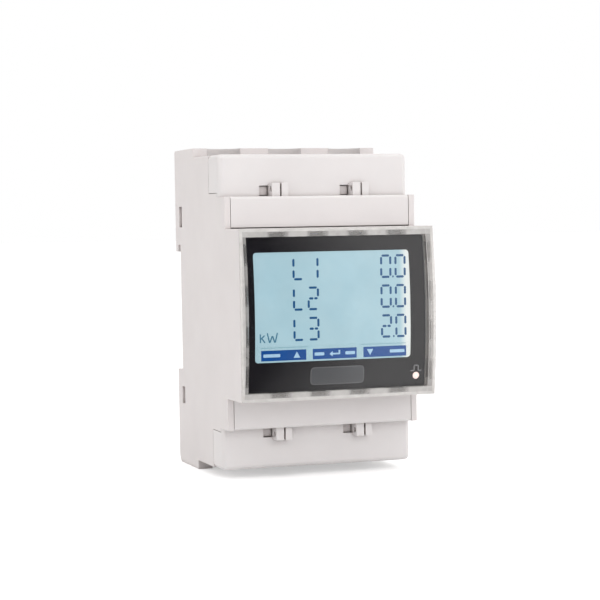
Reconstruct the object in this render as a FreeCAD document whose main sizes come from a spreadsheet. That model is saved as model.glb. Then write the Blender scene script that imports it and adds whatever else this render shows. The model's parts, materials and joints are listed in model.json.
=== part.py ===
import FreeCAD, Part
import os
import re
import Sketcher
from FreeCAD import Placement, Rotation, Vector

# Three-phase electricity meter for a 35 mm mounting rail, three 18 mm modules wide.
# +X is to the right, +Y points back into the rail, +Z is up, and the origin is the middle of the
# face that rests on the rail. Depths are measured forward of that face, so they lie along -Y.

doc = FreeCAD.newDocument("meter")

# Driving dimensions, in millimetres.
SIZES = {
    # housing outline
    "width": 54,
    "pitch": 18,
    "height": 90,
    "cover_span": 84.8,
    "ledge_span": 62,
    "nose_span": 45,
    "hook_back": 5,
    "hump_depth": 15,
    "split_depth": 30.5,
    "cover_depth": 40,
    "shoulder_depth": 45.3,
    "rim_depth": 58,
    "dome_rise": 2,
    "wall": 1.6,
    "rim": 0.7,
    "play": 0.3,
    "seam": 0.15,
    # mounting rail and its clip
    "slot_height": 36,
    "hook_drop": 2,
    "hook_thick": 2.5,
    "clip_width": 14,
    "clip_neck": 10,
    "clip_travel": 4.5,
    # inner walls of the housing
    "bay_span": 55.6,
    "bay_depth": 41.9,
    "inner_wall": 1.5,
    "rear_depth": 6,
    "deck_depth": 37.2,
    "deck_span": 81.4,
    "chamber_depth": 34.5,
    "chamber_span": 82,
    "entry_bore": 9.8,
    # main terminals
    "terminal_row": 35.75,
    "cage_width": 12,
    "cage_tall": 9.5,
    "cage_back": 8.8,
    "cage_wall": 1.4,
    "cage_nut": 3.5,
    "cage_opening": 10.5,
    "clamp_thread": 5,
    "clamp_head": 7.4,
    "bar_depth": 20.4,
    "bar_width": 7,
    "bar_thick": 2,
    # signal terminals
    "signal_pitch": 5,
    "signal_row": 25.2,
    "signal_block": 20.4,
    "signal_cage": 3.6,
    "signal_nut": 1.6,
    "signal_thread": 2.5,
    "signal_head": 3.6,
    "signal_way": 7,
    # boards
    "board_depth": 29.4,
    "board_thick": 1.6,
    "display_depth": 48.8,
    "post_across": 9,
    "post_up": 17,
    "post_width": 5,
    "pilot": 2.3,
    "coil_outer": 14.4,
    "coil_inner": 9.4,
    "coil_length": 10,
    # display
    "glass_left": 23.9,
    "glass_right": 20.5,
    "glass_top": 18.8,
    "glass_bottom": 13.1,
    "glass_front": 56.2,
    "glass_thick": 2.2,
    "view_left": 23.3,
    "view_right": 19.9,
    "view_top": 16.25,
    "view_bottom": 12.15,
    "label_across": 24.75,
    "label_up": 20.2,
    "label_thick": 0.5,
    "seat_depth": 2.7,
    "snap_width": 5,
    "snap_deep": 3,
    "snap_across": 11,
    "snap_up": 10.5,
    "lamp_across": 21.6,
    "lamp_down": 17.4,
    # seal lugs on the terminal covers
    "lug_first": 12.95,
    "lug_spacing": 23,
    "lug_width": 4.5,
    "lug_up": 3.6,
    "lug_out": 3.2,
    "seal_bore": 1.6,
}

POLES = (1, 2, 3)
SIGNALS = (1, 2, 3, 4)
ROWS = {"top": 1, "bottom": -1}
TOLERANCE = 0.01

pieces = []


def make_sheet():
    """The spreadsheet that holds the driving dimensions, one alias a row."""
    sheet = doc.addObject("Spreadsheet::Sheet", "Sizes")
    for row, (alias, value) in enumerate(SIZES.items(), 1):
        sheet.set(f"A{row}", alias)
        sheet.set(f"B{row}", str(value))
        sheet.setAlias(f"B{row}", alias)
    doc.recompute()


def bound(text):
    """The expression with each dimension's name pointing at its cell."""
    return re.sub(r"[a-z_]{3,}", lambda word: f"Sizes.{word.group()}" if word.group() in SIZES
                  else word.group(), text)


def value(text):
    """The number that an expression gives now."""
    numbers = {alias: float(size) for alias, size in SIZES.items()}
    tree = re.sub(r"[a-z_]{3,}", lambda word: repr(numbers[word.group()]), text)
    return float(FreeCAD.Units.Quantity(tree).Value)


def piece(solid, label):
    """Names a finished sub-part and keeps it for the export."""
    solid.Label = label
    pieces.append(solid)
    return solid


# Part primitives and booleans

def block(name, x, y, z):
    """A box between two planes on each axis."""
    box = doc.addObject("Part::Box", name)
    for side, axis, (low, high) in zip(("Length", "Width", "Height"), "xyz", (x, y, z)):
        box.setExpression(side, bound(f"({high}) - ({low})"))
        box.setExpression(f"Placement.Base.{axis}", bound(low))
    return box


TURN_TO = {
    "x": Rotation(Vector(0, 1, 0), 90),
    "y": Rotation(Vector(1, 0, 0), -90),
    "z": Rotation(),
}


def rod(name, axis, start, length, radius):
    """A cylinder along +axis from its start point."""
    round_bar = doc.addObject("Part::Cylinder", name)
    round_bar.Placement = Placement(Vector(), TURN_TO[axis])
    for letter, place in zip("xyz", start):
        round_bar.setExpression(f"Placement.Base.{letter}", bound(place))
    round_bar.setExpression("Height", bound(length))
    round_bar.setExpression("Radius", bound(radius))
    return round_bar


def fuse(name, *shapes):
    """One solid from several that meet."""
    whole = doc.addObject("Part::MultiFuse", name)
    whole.Shapes = list(shapes)
    whole.Refine = True
    return whole


def common(name, *shapes):
    """What several solids share."""
    shared = doc.addObject("Part::MultiCommon", name)
    shared.Shapes = list(shapes)
    return shared


def cut(name, base, *tools):
    """A solid less the tools."""
    rest = doc.addObject("Part::Cut", name)
    rest.Base = base
    rest.Tool = tools[0] if len(tools) == 1 else gather(f"{name}_tools", *tools)
    return rest


def gather(name, *shapes):
    """Several separate solids kept together."""
    group = doc.addObject("Part::Compound", name)
    group.Links = list(shapes)
    return group


# PartDesign bodies, built from outlines on their own origin planes

FACING = {"XY_Plane": 1, "XZ_Plane": -1, "YZ_Plane": 1}


def rect(low_u, high_u, low_v, high_v):
    """The four corners of a rectangle in a sketch."""
    return [(low_u, low_v), (high_u, low_v), (high_u, high_v), (low_u, high_v)]


def place_point(sketch, number, point, where):
    """Holds one point of a sketch at two distances from its origin."""
    for kind, axis, distance in zip(("DistanceX", "DistanceY"), "uv", where):
        sketch.addConstraint(Sketcher.Constraint(kind, -1, 1, number, point, value(distance)))
        name = f"{axis}{number}"
        sketch.renameConstraint(sketch.ConstraintCount - 1, name)
        sketch.setExpression(f"Constraints.{name}", bound(distance))


def draw_polygon(sketch, corners):
    """A closed outline of straight lines."""
    first = sketch.GeometryCount
    ends = [Vector(value(u), value(v), 0) for u, v in corners]
    for start, end in zip(ends, ends[1:] + ends[:1]):
        sketch.addGeometry(Part.LineSegment(start, end), False)
    for step, corner in enumerate(corners):
        following = first + (step + 1) % len(corners)
        sketch.addConstraint(Sketcher.Constraint("Coincident", first + step, 2, following, 1))
        place_point(sketch, first + step, 1, corner)


def draw_circle(sketch, u, v, radius):
    """A full circle."""
    number = sketch.GeometryCount
    centre = Vector(value(u), value(v), 0)
    sketch.addGeometry(Part.Circle(centre, Vector(0, 0, 1), value(radius)), False)
    place_point(sketch, number, 3, (u, v))
    sketch.addConstraint(Sketcher.Constraint("Radius", number, value(radius)))
    name = f"r{number}"
    sketch.renameConstraint(sketch.ConstraintCount - 1, name)
    sketch.setExpression(f"Constraints.{name}", bound(radius))


def draw(body, name, plane, loops, offset):
    """A sketch parallel to one of the body's origin planes. A loop is corners, or u, v and radius."""
    sketch = body.newObject("Sketcher::SketchObject", name)
    support = next(f for f in body.Origin.OriginFeatures if f.Role == plane)
    sketch.AttachmentSupport = [(support, "")]
    sketch.MapMode = "FlatFace"
    sketch.setExpression("AttachmentOffset.Base.z", bound(offset))
    for loop in loops:
        if isinstance(loop, tuple):
            draw_circle(sketch, *loop)
        else:
            draw_polygon(sketch, loop)
    return sketch


def volume(body):
    """The body's volume as it stands, nothing when it has no features yet."""
    return body.Tip.Shape.Volume if body.Tip else 0


def grow(body, name, plane, loops, low, high):
    """Pads outlines from one distance to another along the plane's own axis."""
    before = volume(body)
    offset = low if FACING[plane] > 0 else f"-({high})"
    sketch = draw(body, f"{name}_outline", plane, loops, offset)
    pad = body.newObject("PartDesign::Pad", name)
    pad.Profile = sketch
    pad.setExpression("Length", bound(f"({high}) - ({low})"))
    doc.recompute()
    if volume(body) <= before:
        raise RuntimeError(f"{name} added nothing")


def carve(body, name, plane, loops, low, high):
    """Pockets outlines from one distance to another along the plane's own axis."""
    before = volume(body)
    offset = high if FACING[plane] > 0 else f"-({low})"
    sketch = draw(body, f"{name}_outline", plane, loops, offset)
    pocket = body.newObject("PartDesign::Pocket", name)
    pocket.Profile = sketch
    pocket.setExpression("Length", bound(f"({high}) - ({low})"))
    doc.recompute()
    if volume(body) >= before:
        raise RuntimeError(f"{name} removed nothing")


def spin(body, name, corners):
    """Turns a half profile, drawn in the XY plane, about the body's Y axis."""
    sketch = draw(body, f"{name}_outline", "XY_Plane", [corners], "0")
    turned = body.newObject("PartDesign::Revolution", name)
    turned.Profile = sketch
    turned.ReferenceAxis = (sketch, ["V_Axis"])
    turned.Angle = 360
    doc.recompute()


def runs_along(edge, direction, places):
    """True for a straight edge along one axis, at these distances from the others' zero."""
    box = edge.BoundBox
    spans = {"x": (box.XMin, box.XMax), "y": (box.YMin, box.YMax), "z": (box.ZMin, box.ZMax)}
    for axis, (low, high) in spans.items():
        if axis == direction:
            if high - low < TOLERANCE:
                return False
        elif high - low > TOLERANCE:
            return False
        elif axis in places and abs(low - places[axis]) > TOLERANCE:
            return False
    return True


def soften(body, name, radius, direction, *corners):
    """Fillets the edges along one axis that pass through the given corners."""
    tip = body.Tip
    wanted = [{axis: value(place) for axis, place in corner.items()} for corner in corners]
    edges = [f"Edge{number}" for number, edge in enumerate(tip.Shape.Edges, 1)
             if any(runs_along(edge, direction, places) for places in wanted)]
    if not edges:
        raise RuntimeError(f"{name} found no edges")
    fillet = body.newObject("PartDesign::Fillet", name)
    fillet.Base = (tip, edges)
    fillet.setExpression("Radius", bound(radius))
    doc.recompute()


def pole_x(pole):
    """The middle of one pole across the meter."""
    return f"{pole - 2} * pitch"


def signal_x(number):
    """The middle of one signal terminal across the meter."""
    return f"{number - 2.5} * signal_pitch"


def mirrored(sign, low, high):
    """A span of heights in the top row, or its mirror image in the bottom row."""
    return (low, high) if sign > 0 else (f"-({high})", f"-({low})")


def put(body, x, y, z):
    """Moves a finished body to its place in the meter."""
    for axis, place in zip("xyz", (x, y, z)):
        body.setExpression(f"Placement.Base.{axis}", bound(place))


# Housing

def side_profile():
    """The meter's stepped outline seen from the side, from the top hook round to the bottom one."""
    steps = [
        ("hook_back", "height / 2"),
        ("-hump_depth", "height / 2"),
        ("-hump_depth", "cover_span / 2"),
        ("-split_depth", "cover_span / 2"),
        ("-split_depth", "ledge_span / 2 + 1"),
        ("wall - cover_depth + seam", "ledge_span / 2 + 1"),
        ("wall - cover_depth + seam", "ledge_span / 2"),
        ("-shoulder_depth", "ledge_span / 2"),
        ("-shoulder_depth", "nose_span / 2"),
        ("-rim_depth", "nose_span / 2"),
    ]
    below = [(depth, f"-({height})") for depth, height in reversed(steps)]
    return steps + below + rail_slot()


def rail_slot():
    """The rail slot in section: flat seat, square lower edge, hooked upper edge."""
    return [
        ("hook_back", "-slot_height / 2"),
        ("0", "-slot_height / 2"),
        ("0", "slot_height / 2"),
        ("hook_back - hook_thick", "slot_height / 2"),
        ("hook_back - hook_thick", "slot_height / 2 - hook_drop"),
        ("hook_back", "slot_height / 2 - hook_drop"),
    ]


def housing_solid(body):
    """The outside of the housing, with the two terminal decks that the covers close over."""
    grow(body, "shell", "YZ_Plane", [side_profile()], "-width / 2", "width / 2")
    soften(body, "foot_round", "2.5", "x", {"y": "hook_back", "z": "-height / 2"})
    soften(body, "head_round", "1.2", "x", {"y": "hook_back", "z": "height / 2"})
    for row, sign in ROWS.items():
        z = mirrored(sign, "bay_span / 2", "deck_span / 2")
        deck = rect("seam - width / 2 + wall + play", "width / 2 - wall - play - seam", *z)
        grow(body, f"{row}_deck", "XZ_Plane", [deck], "-deck_depth", "-split_depth + 2")


def housing_bays(body):
    """The spaces inside: rear bay, electronics bay, nose, and the seat of the window."""
    inner = "width / 2 - wall"
    bays = {
        "rear_bay": (inner, "height / 2 - 1.8", "-rear_depth", "hook_back"),
        "board_bay": (inner, "bay_span / 2", "-bay_depth", "-rear_depth"),
        "nose_bay": (inner, "nose_span / 2 - inner_wall", "-rim_depth", "-bay_depth"),
        "window_seat": ("width / 2 - rim", "nose_span / 2 - rim", "-rim_depth",
                        "seat_depth - rim_depth"),
    }
    for name, (across, up, front, back) in bays.items():
        opening = rect(f"-({across})", across, f"-({up})", up)
        carve(body, name, "XZ_Plane", [opening], front, back)


def snap_places():
    """The middles of the window's snaps: across the upper and lower walls, then up the sides."""
    steps = ("-1.5", "-0.5", "0.5", "1.5")
    return [f"{step} * snap_across" for step in steps], [f"{step} * snap_up" for step in steps]


def snap_spans(inner, outer, half, place):
    """The two rectangles, on opposite walls, that a snap at this place covers."""
    return [(f"{place} - {half}", f"{place} + {half}", inner, outer),
            (f"{place} - {half}", f"{place} + {half}", f"-({outer})", f"-({inner})")]


def housing_snap_pockets(body):
    """Pockets behind the window's seat that its snap tabs click into."""
    across, up = snap_places()
    pockets = []
    for place in across:
        spans = snap_spans("nose_span / 2 - inner_wall", "nose_span / 2 - rim",
                           "snap_width / 2", place)
        pockets += [rect(*span) for span in spans]
    for place in up:
        spans = snap_spans("width / 2 - wall", "width / 2 - rim", "snap_width / 2", place)
        pockets += [rect(low, high, near, far) for near, far, low, high in spans]
    carve(body, "snap_pockets", "XZ_Plane", pockets, "seat_depth - rim_depth",
          "seat_depth + snap_deep - rim_depth")


def housing_terminals(body):
    """Chambers for the cages, guides for the clamp screws, and round cable entries."""
    for row, sign in ROWS.items():
        chambers = []
        guides = []
        ports = []
        entries = []
        for pole in POLES:
            middle = pole_x(pole)
            z = mirrored(sign, "bay_span / 2 - 0.8", "chamber_span / 2")
            half = "(cage_width / 2 + play)"
            chambers.append(rect(f"{middle} - {half}", f"{middle} + {half}", *z))
            centre = (middle, f"{sign} * terminal_row")
            guides.append((*centre, "clamp_head / 2 + play"))
            ports.append((*centre, "clamp_thread / 2 + 0.5"))
            entries.append((middle, "-hump_depth", "entry_bore / 2"))
        carve(body, f"{row}_chambers", "XZ_Plane", chambers, "-chamber_depth", "-rear_depth")
        carve(body, f"{row}_guides", "XZ_Plane", guides, "0.7 - deck_depth", "-chamber_depth")
        carve(body, f"{row}_ports", "XZ_Plane", ports, "-deck_depth", "-chamber_depth")
        z = mirrored(sign, "chamber_span / 2 - 0.5", "height / 2")
        carve(body, f"{row}_entries", "XY_Plane", entries, *z)


def housing_cover_seats(body):
    """Room for the shoulders of the terminal covers, and slots for their tongues."""
    floor = "bay_span / 2 + 1.4"
    face = "-(bay_depth + inner_wall)"
    for row, sign in ROWS.items():
        seat = [
            ("-shoulder_depth", "nose_span / 2"),
            (face, "nose_span / 2"),
            (face, floor),
            ("-deck_depth", floor),
            ("-deck_depth", "ledge_span / 2 + 1"),
            ("-shoulder_depth", "ledge_span / 2 + 1"),
        ]
        seat = [(depth, f"{sign} * ({height})") for depth, height in seat]
        carve(body, f"{row}_cover_seat", "YZ_Plane", [seat], "wall - width / 2",
              "width / 2 - wall")
        slots = [rect(f"{side} * pitch - 2.3", f"{side} * pitch + 2.3",
                      *mirrored(sign, "nose_span / 2 + 1.3", "nose_span / 2 + 3.7"))
                 for side in (-1, 1)]
        carve(body, f"{row}_tongue_slots", "XZ_Plane", slots, face, "-bay_depth")
    groove = rect("-pitch / 2 - signal_way / 2", "signal_way / 2 - pitch / 2",
                  "-deck_span / 2", f"-({floor})")
    carve(body, "signal_groove", "XZ_Plane", [groove], "-deck_depth", "2 - deck_depth")


def housing_seal_tabs(body):
    """Small bored tabs that stand in the covers' seal windows."""
    for row, sign in ROWS.items():
        tabs = [rect(f"{left} - 2.4", f"{left} - 0.3",
                     *mirrored(sign, "ledge_span / 2 + 0.4", "ledge_span / 2 + 2.7"))
                for left in lug_lefts()]
        grow(body, f"{row}_seal_tabs", "XZ_Plane", tabs, "0.9 - cover_depth", "0.5 - deck_depth")
        bore = ("1.7 - cover_depth", f"{sign} * (ledge_span / 2 + 1.6)", "0.5")
        carve(body, f"{row}_tab_bores", "YZ_Plane", [bore], "-lug_first - 3", "lug_spacing")


def housing_cutouts(body):
    """Snap windows in both sides, the signal terminals' window, and the clip's way out."""
    snap = [rect("-2.05", "0.85", "23", "28.9"), rect("-2.05", "0.85", "-27.7", "-22.8")]
    carve(body, "snap_windows", "YZ_Plane", snap, "-width / 2", "width / 2")
    half = "signal_block / 2 + play"
    face = "-(bay_depth + inner_wall)"
    front = rect(f"-({half})", half, "-(bay_span / 2 + 1.4)", "inner_wall - nose_span / 2")
    carve(body, "signal_window", "XZ_Plane", [front], face, "-bay_depth")
    under = rect(f"-({half})", half, "-(bay_span / 2 + 1.4)", "-bay_span / 2")
    carve(body, "signal_way_in", "XZ_Plane", [under], face, "-deck_depth")
    gate = rect("-clip_width / 2 - 2 * play", "clip_width / 2 + 2 * play", "0", "hook_back")
    carve(body, "clip_gate", "XY_Plane", [gate], "-height / 2", "1.9 - height / 2")


def main_housing():
    """The one-piece moulding that forms the sides, the nose and both terminal rows."""
    body = doc.addObject("PartDesign::Body", "main_housing")
    housing_solid(body)
    housing_bays(body)
    housing_snap_pockets(body)
    housing_terminals(body)
    housing_cover_seats(body)
    housing_seal_tabs(body)
    housing_cutouts(body)
    piece(body, "main_housing")


def rear_base():
    """The bent back plate that seats on the rail, snapped in between the housing's sides."""
    body = doc.addObject("PartDesign::Body", "rear_base")
    half = "width / 2 - wall - play"
    top = "height / 2 - 1.8 - play"
    plate = "hook_back - 1.8"
    section = rail_slot() + [
        ("hook_back", top),
        (plate, top),
        (plate, "slot_height / 2 + 2"),
        ("-2", "slot_height / 2 + 2"),
        ("-2", "-slot_height / 2 - 2"),
        (plate, "-slot_height / 2 - 2"),
        (plate, f"-({top})"),
        ("hook_back", f"-({top})"),
    ]
    grow(body, "plate", "YZ_Plane", [section], f"-({half})", half)
    guide = rect("-clip_width / 2 - 3", "clip_width / 2 + 3", f"-({top})", "-slot_height / 2 - 1")
    grow(body, "clip_guide", "XZ_Plane", [guide], "-2", plate)
    rear_base_recesses(body)
    rear_base_stops(body)
    rear_base_arms(body, half)
    posts = [(f"{side} * post_across", f"{end} * post_up", "post_width / 2")
             for side in (-1, 1) for end in (-1, 1)]
    grow(body, "posts", "XZ_Plane", posts, "-board_depth", "-1.5")
    pilots = [(across, up, "pilot / 2") for across, up, radius in posts]
    carve(body, "pilots", "XZ_Plane", pilots, "-board_depth", "9 - board_depth")
    neck = "clip_neck / 2 + play"
    flange = "clip_width / 2 + play"
    tee = [
        (f"-({flange})", "0"), (flange, "0"), (flange, "2.3"), (neck, "2.3"),
        (neck, "hook_back"), (f"-({neck})", "hook_back"), (f"-({neck})", "2.3"),
        (f"-({flange})", "2.3"),
    ]
    carve(body, "clip_channel", "XY_Plane", [tee], f"-({top})", "-slot_height / 2")
    piece(body, "rear_base")


def rear_base_recesses(body):
    """Shallow panels and round ejector marks in the back of the plate, clear of the clip's guide."""
    panels = []
    marks = []
    for side in (-1, 1):
        for sign in (-1, 1):
            low, high = mirrored(side, "clip_width / 2 + 5", "width / 2 - 4.5")
            panels.append(rect(low, high, *mirrored(sign, "slot_height / 2 + 4", "height / 2 - 8")))
            marks.append((f"{side} * (width / 2 - 7)", f"{sign} * (height / 2 - 5)", "1.7"))
    carve(body, "back_panels", "XZ_Plane", panels, "hook_back - 0.5", "hook_back")
    carve(body, "ejector_marks", "XZ_Plane", marks, "hook_back - 0.25", "hook_back")


def rear_base_stops(body):
    """Blocks on the back plate that stop each cage when its screw is backed off."""
    for row, sign in ROWS.items():
        stops = [rect(f"{pole_x(pole)} - 4.5", f"{pole_x(pole)} + 4.5",
                      *mirrored(sign, "terminal_row - 3", "terminal_row + 3"))
                 for pole in POLES]
        grow(body, f"{row}_stops", "XZ_Plane", stops, "play - cage_back", "hook_back - 1.7")


def rear_base_arms(body, half):
    """Four snap arms, each with a barb that sits in a window of the housing's side."""
    arms = {"upper": ("21.5", "30.5", "23.3", "28.6"), "lower": ("-29.5", "-21.5", "-27.4", "-23.1")}
    for name, (arm_low, arm_high, barb_low, barb_high) in arms.items():
        roots = [rect(f"-({half})", f"1.5 - ({half})", arm_low, arm_high),
                 rect(f"{half} - 1.5", half, arm_low, arm_high)]
        grow(body, f"{name}_arms", "XZ_Plane", roots, "-rear_depth + 0.5", "hook_back - 1.7")
        tips = [rect("0.8 - width / 2", f"0.5 - ({half})", barb_low, barb_high),
                rect(f"{half} - 0.5", "width / 2 - 0.8", barb_low, barb_high)]
        grow(body, f"{name}_barbs", "XZ_Plane", tips, "-1.75", "0.55")


def rail_clip():
    """The sliding foot that hooks under the rail, with a screwdriver eye at its lower end."""
    body = doc.addObject("PartDesign::Body", "rail_clip")
    tee = [
        ("-clip_width / 2", "play"), ("clip_width / 2", "play"), ("clip_width / 2", "2"),
        ("clip_neck / 2", "2"), ("clip_neck / 2", "hook_back - play"),
        ("-clip_neck / 2", "hook_back - play"), ("-clip_neck / 2", "2"), ("-clip_width / 2", "2"),
    ]
    grow(body, "slider", "XY_Plane", [tee], "-height / 2 + 0.4", "-slot_height / 2 - play")
    hook = [
        ("1.4", "-slot_height / 2 - 1"),
        ("hook_back - play", "-slot_height / 2 - 1"),
        ("hook_back - play", "-slot_height / 2 + 0.8"),
        ("3", "-slot_height / 2 + 2.5"),
        ("1.4", "-slot_height / 2 + 2.5"),
    ]
    grow(body, "hook", "YZ_Plane", [hook], "-clip_neck / 2", "clip_neck / 2")
    eye = rect("-2.6", "2.6", "-height / 2 + 2.8", "-height / 2 + 7.6")
    carve(body, "driver_eye", "XZ_Plane", [eye], "play", "hook_back - play")
    slits = [rect("-clip_neck / 2 + 0.7", "-clip_neck / 2 + 1.3", "-38", "-25"),
             rect("clip_neck / 2 - 1.3", "clip_neck / 2 - 0.7", "-38", "-25")]
    carve(body, "spring_slits", "XZ_Plane", slits, "play", "hook_back - play")
    piece(body, "rail_clip")


# Terminal covers

def lug_lefts():
    """The left edges of a cover's two seal lugs."""
    return "-lug_first", "lug_spacing - lug_first"


def terminal_cover(row, sign):
    """A lift-off cap over one terminal row: a boxed front and a stepped shoulder below it."""
    body = doc.addObject("PartDesign::Body", f"{row}_terminal_cover")
    base = "ledge_span / 2"
    head = "cover_span / 2"
    shell = rect("-width / 2", "width / 2", *mirrored(sign, base, head))
    grow(body, f"{row}_cap", "XZ_Plane", [shell], "-cover_depth", "-split_depth - seam")
    soften(body, f"{row}_cap_corners", "1.5", "z",
           {"x": "-width / 2", "y": "-cover_depth"}, {"x": "width / 2", "y": "-cover_depth"})
    soften(body, f"{row}_cap_edge", "1.3", "x", {"y": "-cover_depth", "z": f"{sign} * {head}"})
    hollow = rect("wall - width / 2", "width / 2 - wall", *mirrored(sign, base, f"{head} - 1.4"))
    carve(body, f"{row}_hollow", "XZ_Plane", [hollow], "wall - cover_depth", "-split_depth - seam")
    skirt = rect("-width / 2", "width / 2", *mirrored(sign, base, f"{base} + 1 + seam"))
    carve(body, f"{row}_skirt", "XZ_Plane", [skirt], "wall - cover_depth", "-split_depth - seam")
    half = "width / 2 - wall - seam"
    step = [
        ("wall - cover_depth", base),
        ("-shoulder_depth", base),
        ("-shoulder_depth", "nose_span / 2 + play"),
        ("wall - shoulder_depth", "nose_span / 2 + play"),
        ("wall - shoulder_depth", f"{base} - inner_wall"),
        ("wall - cover_depth", f"{base} - inner_wall"),
    ]
    step = [(depth, f"{sign} * ({height})") for depth, height in step]
    grow(body, f"{row}_shoulder", "YZ_Plane", [step], f"-({half})", half)
    soften(body, f"{row}_shoulder_edge", "0.8", "x",
           {"y": "-shoulder_depth", "z": f"{sign} * {base}"})
    tongues = [rect(f"{side} * pitch - 2", f"{side} * pitch + 2",
                    *mirrored(sign, "nose_span / 2 + 1.6", "nose_span / 2 + 3.4"))
               for side in (-1, 1)]
    grow(body, f"{row}_tongues", "XZ_Plane", tongues, "1 - shoulder_depth", "5 - shoulder_depth")
    seal_lugs(body, row, sign)
    if row == "bottom":
        way = rect("-pitch / 2 - signal_way / 2", "signal_way / 2 - pitch / 2",
                   "wall - cover_depth", "2 - deck_depth")
        carve(body, "signal_way_out", "XY_Plane", [way], f"-({head})", f"1.4 - ({head})")
    piece(body, f"{row}_terminal_cover")


def seal_lugs(body, row, sign):
    """Two slotted, cross-bored lugs, each beside a small window, for a sealing wire."""
    base = "ledge_span / 2"
    lefts = lug_lefts()
    up = mirrored(sign, f"{base} - 0.5", f"{base} + lug_up")
    lugs = [rect(left, f"{left} + lug_width", *up) for left in lefts]
    grow(body, f"{row}_lugs", "XZ_Plane", lugs, "-cover_depth - lug_out", "0.5 - cover_depth")
    slots = [rect(f"{left} + 2.2", f"{left} + 2.65", *mirrored(sign, base, f"{base} + lug_up"))
             for left in lefts]
    carve(body, f"{row}_lug_slots", "XZ_Plane", slots, "-cover_depth - lug_out",
          "-cover_depth - 0.4")
    bore = ("-cover_depth - 1.7", f"{sign} * ({base} + 2)", "seal_bore / 2")
    carve(body, f"{row}_seal_bore", "YZ_Plane", [bore], "-lug_first - 1",
          "lug_spacing - lug_first + lug_width + 1")
    windows = [rect(f"{left} - 2.65", left, *mirrored(sign, f"{base} + seam", f"{base} + 2.95"))
               for left in lefts]
    carve(body, f"{row}_seal_windows", "XZ_Plane", windows, "-cover_depth", "wall - cover_depth")


# Window, label and display

def dome(name, inset):
    """The upright cylinder section, across the meter, that the nose bulges to, less an inset."""
    radius = "((nose_span / 2)^2 + dome_rise^2) / (2 * dome_rise)"
    return rod(name, "x", ("-width", f"{radius} - rim_depth - dome_rise", "0"), "2 * width",
               f"{radius} - ({inset})")


def window():
    """The clear bulging window with a shallow skirt all round and a row of snap tabs on it."""
    back = "seat_depth - 0.1 - rim_depth"
    outside = block("window_outside", ("rim + 0.1 - width / 2", "width / 2 - rim - 0.1"),
                    ("-rim_depth - dome_rise - 1", back),
                    ("rim + 0.1 - nose_span / 2", "nose_span / 2 - rim - 0.1"))
    inside = block("window_inside", ("-label_across - 0.1", "label_across + 0.1"),
                   ("-rim_depth - dome_rise - 1", "3 - rim_depth"),
                   ("-label_up - 0.1", "label_up + 0.1"))
    lens = common("window_lens", outside, dome("window_face", "0"))
    hollow = common("window_hollow", inside, dome("window_back", "wall"))
    shell = cut("window_shell", lens, hollow)
    depth = (f"{back} - 0.2", f"{back} + snap_deep - 0.5")
    across, up = snap_places()
    tabs = []
    for number, place in enumerate(across, 1):
        spans = snap_spans("nose_span / 2 - inner_wall + 0.1", "nose_span / 2 - rim - 0.1",
                           "(snap_width / 2 - play)", place)
        tabs += [block(f"tab_{side}_{number}", (left, right), depth, (low, high))
                 for side, (left, right, low, high) in zip(("upper", "lower"), spans)]
    for number, place in enumerate(up, 1):
        spans = snap_spans("width / 2 - wall + 0.1", "width / 2 - rim - 0.1",
                           "(snap_width / 2 - play)", place)
        tabs += [block(f"tab_{side}_{number}", (near, far), depth, (low, high))
                 for side, (low, high, near, far) in zip(("right", "left"), spans)]
    piece(fuse("window", shell, *tabs), "window")


def label_panel():
    """The dark printed mask behind the window, with an opening for the display and the lamp."""
    sheet = block("label_sheet", ("-label_across", "label_across"),
                  ("-rim_depth - dome_rise", "4 - rim_depth"), ("-label_up", "label_up"))
    front = dome("label_front", "wall + 0.05")
    back = dome("label_back", "wall + 0.05 + label_thick")
    view = block("label_view", ("-view_left", "view_right"), ("-rim_depth - 3", "6 - rim_depth"),
                 ("-view_bottom", "view_top"))
    lamp = rod("label_lamp", "y", ("lamp_across", "-rim_depth - 3", "-lamp_down"), "9", "0.85")
    mask = common("label_mask", sheet, front)
    piece(cut("label_panel", mask, back, view, lamp), "label_panel")


def display_stack():
    """What lies behind the label: touch foil, glass, light guide, contact strip and holder."""
    across = ("-glass_left", "glass_right")
    front = "-glass_front"
    back = "glass_thick - glass_front"
    piece(block("lcd_glass", across, (front, back), ("-glass_bottom", "glass_top")), "lcd_glass")
    piece(block("touch_key_foil", across, (f"{front} - 0.15", front),
                ("0.5 - glass_bottom", "4.9 - glass_bottom")), "touch_key_foil")
    piece(block("light_guide", across, (f"{back} + 0.05", f"{back} + 2.4"),
                ("-glass_bottom", "glass_top - 2.5")), "light_guide")
    piece(block("contact_strip", ("2 - glass_left", "glass_right - 2.5"),
                (back, "-display_depth - board_thick"), ("glass_top - 2.2", "glass_top - 0.2")),
          "contact_strip")
    rim = block("frame_rim", ("-width / 2 + 1.9", "width / 2 - 1.9"),
                ("2.8 - rim_depth", "-display_depth - board_thick"),
                ("1.8 - nose_span / 2", "nose_span / 2 - 1.8"))
    opening = block("frame_opening", ("-glass_left - 0.1", "glass_right + 0.1"),
                    ("-rim_depth", "-display_depth"), ("-glass_bottom - 0.1", "glass_top + 0.1"))
    well = rod("frame_well", "y", ("lamp_across", "-rim_depth", "-lamp_down"), "12", "2.1")
    piece(cut("lcd_frame", rim, opening, well), "lcd_frame")


def pulse_led():
    """The domed pulse lamp on the display board."""
    body = doc.addObject("PartDesign::Body", "pulse_led")
    spin(body, "lamp", [("0", "0"), ("1.9", "0"), ("1.9", "1"), ("1.5", "1"), ("1.5", "4.2"),
                        ("1.2", "5"), ("0.7", "5.5"), ("0", "5.7")])
    body.Placement = Placement(Vector(), Rotation(Vector(1, 0, 0), 180))
    put(body, "lamp_across", "-display_depth - board_thick", "-lamp_down")
    piece(body, "pulse_led")


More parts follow.
